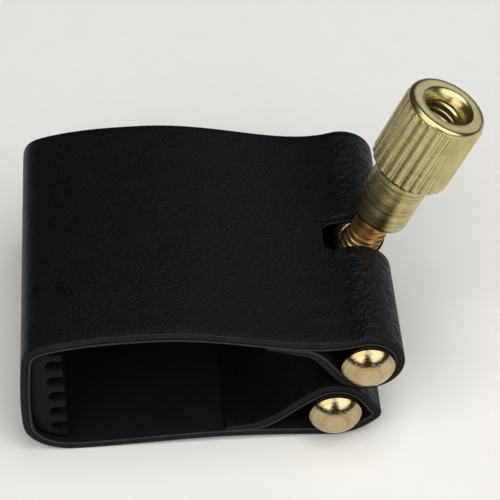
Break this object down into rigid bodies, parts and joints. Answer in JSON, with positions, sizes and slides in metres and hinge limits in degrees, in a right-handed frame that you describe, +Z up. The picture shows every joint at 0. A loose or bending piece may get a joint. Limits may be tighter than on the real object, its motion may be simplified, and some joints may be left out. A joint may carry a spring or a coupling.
{
  "type": "saxophone ligature",
  "caption": "Folded leather ligature strap with a ribbed pad, cross barrels in its end loops and a knurled thumbscrew that draws them together round a mouthpiece.",
  "frame": {"origin": "middle of the strap's opening, where the mouthpiece's axis passes, halfway along the strap's width", "axes": "+Y along the mouthpiece's axis; +X from the strap's fold towards the screw; +Z up, towards the screw's head"},
  "size_m": [0.0463, 0.0338, 0.0319],
  "materials": {
    "strap_leather": "black grained leather with a soft sheen",
    "strap_lining": "grey split leather lining, matte",
    "ribbed_pad": "moulded rubber, matte",
    "upper_barrel": "turned and polished",
    "lower_barrel": "turned and polished",
    "threaded_stud": "cut thread, a little darker than the head",
    "knurled_head": "straight knurl with a polished rim"
  },
  "bodies": {
    "strap": {"strap_leather": "strap_leather", "strap_lining": "strap_lining", "ribbed_pad": "ribbed_pad"},
    "lower_barrel": {"lower_barrel": "lower_barrel"},
    "upper_barrel": {"upper_barrel": "upper_barrel"},
    "stud": {"threaded_stud": "threaded_stud"},
    "head": {"knurled_head": "knurled_head"}
  },
  "joints": [
    {"name": "barrel_rock", "type": "hinge", "parent": "strap", "child": "lower_barrel", "pos_m": [0.0151, 0, -0.0045], "axis": [0, 1, 0], "range_deg": [-2, 2]},
    {"name": "upper_barrel_rock", "type": "hinge", "parent": "strap", "child": "upper_barrel", "pos_m": [0.01809, 0, 0.00238], "axis": [0, 1, 0], "range_deg": [-2, 2]},
    {"name": "screw_advance", "type": "slide", "parent": "lower_barrel", "child": "stud", "axis": [0.3987, 0, 0.9171], "range_m": [-0.0023, 0.0024]},
    {"name": "screw_turn", "type": "hinge", "parent": "stud", "child": "head", "pos_m": [0.02052, 0, 0.00797], "axis": [0.3987, 0, 0.9171], "range_deg": [-1184, 1236]}
  ],
  "couplings": [
    {"joint": "upper_barrel_rock", "follows": "barrel_rock", "ratio": 1},
    {"joint": "screw_turn", "follows": "screw_advance", "rad_per_m": 8976}
  ]
}
